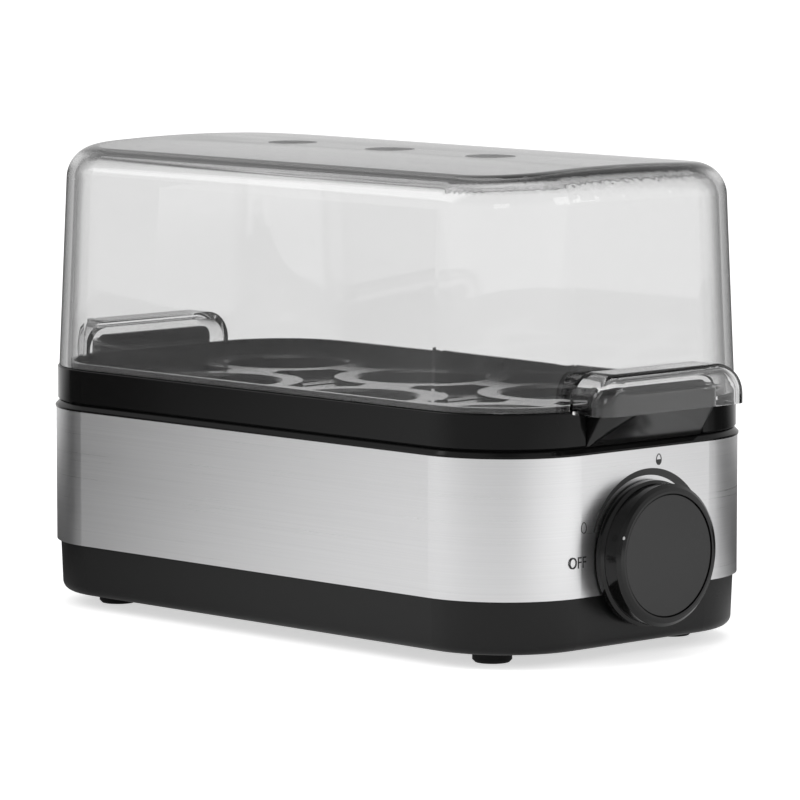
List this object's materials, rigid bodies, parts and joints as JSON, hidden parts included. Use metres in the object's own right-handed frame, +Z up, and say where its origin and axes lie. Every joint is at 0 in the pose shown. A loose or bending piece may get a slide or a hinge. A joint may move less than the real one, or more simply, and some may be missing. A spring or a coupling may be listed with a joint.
{
  "type": "egg boiler",
  "caption": "Small electric egg boiler with a brushed steel body, black base and collar, lift-out egg tray with end grips, rotary dial and smoky clear lid.",
  "frame": {"origin": "on the table, under the middle of the body", "axes": "+X along the length towards the end with the dial, -Y out of the long front face, +Z up"},
  "size_m": [0.24, 0.1156, 0.1421],
  "materials": {
    "satin_black": "fine satin moulding texture",
    "black_rubber": "matt moulded rubber",
    "zinc_steel": "bright zinc plating",
    "brushed_steel": "fine brushing along the long sides",
    "gloss_black": "polished black moulding",
    "clear_silicone": "translucent silicone",
    "pan_steel": "deep drawn satin stainless",
    "cast_aluminium": "plain cast plate",
    "element_sheath": "heat-dulled sheath",
    "phenolic_black": "dark phenolic moulding",
    "white_ceramic": "glazed ceramic",
    "brass_blade": "plain brass",
    "knob_gloss_black": "polished rim",
    "knob_face_grey": "smooth dark grey disc",
    "grommet_rubber": "soft black rubber",
    "terminal_white": "nylon",
    "lead_brown": "silicone sleeved",
    "lead_blue": "silicone sleeved",
    "lead_green": "silicone sleeved",
    "tray_black": "satin black moulding",
    "smoky_clear": "smoky grey clear plastic, polished"
  },
  "bodies": {
    "root": {"base_shell": "satin_black", "rubber_feet": "black_rubber", "housing_screws": "zinc_steel", "steel_band": "brushed_steel", "shoulder_ring": "gloss_black", "upper_collar": "gloss_black", "pan_seal": "clear_silicone", "water_pan": "pan_steel", "spreader_plate": "cast_aluminium", "plate_screws": "zinc_steel", "heating_element": "element_sheath", "thermostat": "phenolic_black", "thermostat_strap": "zinc_steel", "thermal_fuse": "white_ceramic", "fuse_clip": "zinc_steel", "earth_tab": "brass_blade", "doneness_control": "phenolic_black", "control_nut": "zinc_steel", "cord_grommet": "grommet_rubber", "terminal_block": "terminal_white", "terminal_screws": "brass_blade", "live_lead": "lead_brown", "switched_lead": "lead_brown", "neutral_lead": "lead_blue", "link_lead": "lead_blue", "return_lead": "lead_blue", "earth_lead": "lead_green"},
    "tray": {"egg_tray": "tray_black"},
    "lid_cover": {"lid": "smoky_clear"},
    "dial": {"control_shaft": "zinc_steel", "knob": "knob_gloss_black", "knob_cap": "knob_face_grey"}
  },
  "joints": [
    {"name": "tray_lift", "type": "slide", "parent": "root", "child": "tray", "axis": [0, 0, 1], "range_m": [0, 0.06]},
    {"name": "lid_lift", "type": "slide", "parent": "tray", "child": "lid_cover", "axis": [0, 0, 1], "range_m": [0, 0.12]},
    {"name": "dial_turn", "type": "hinge", "parent": "root", "child": "dial", "pos_m": [0.112, 0, 0.0306], "axis": [-1, 0, 0], "range_deg": [-20, 162]}
  ]
}
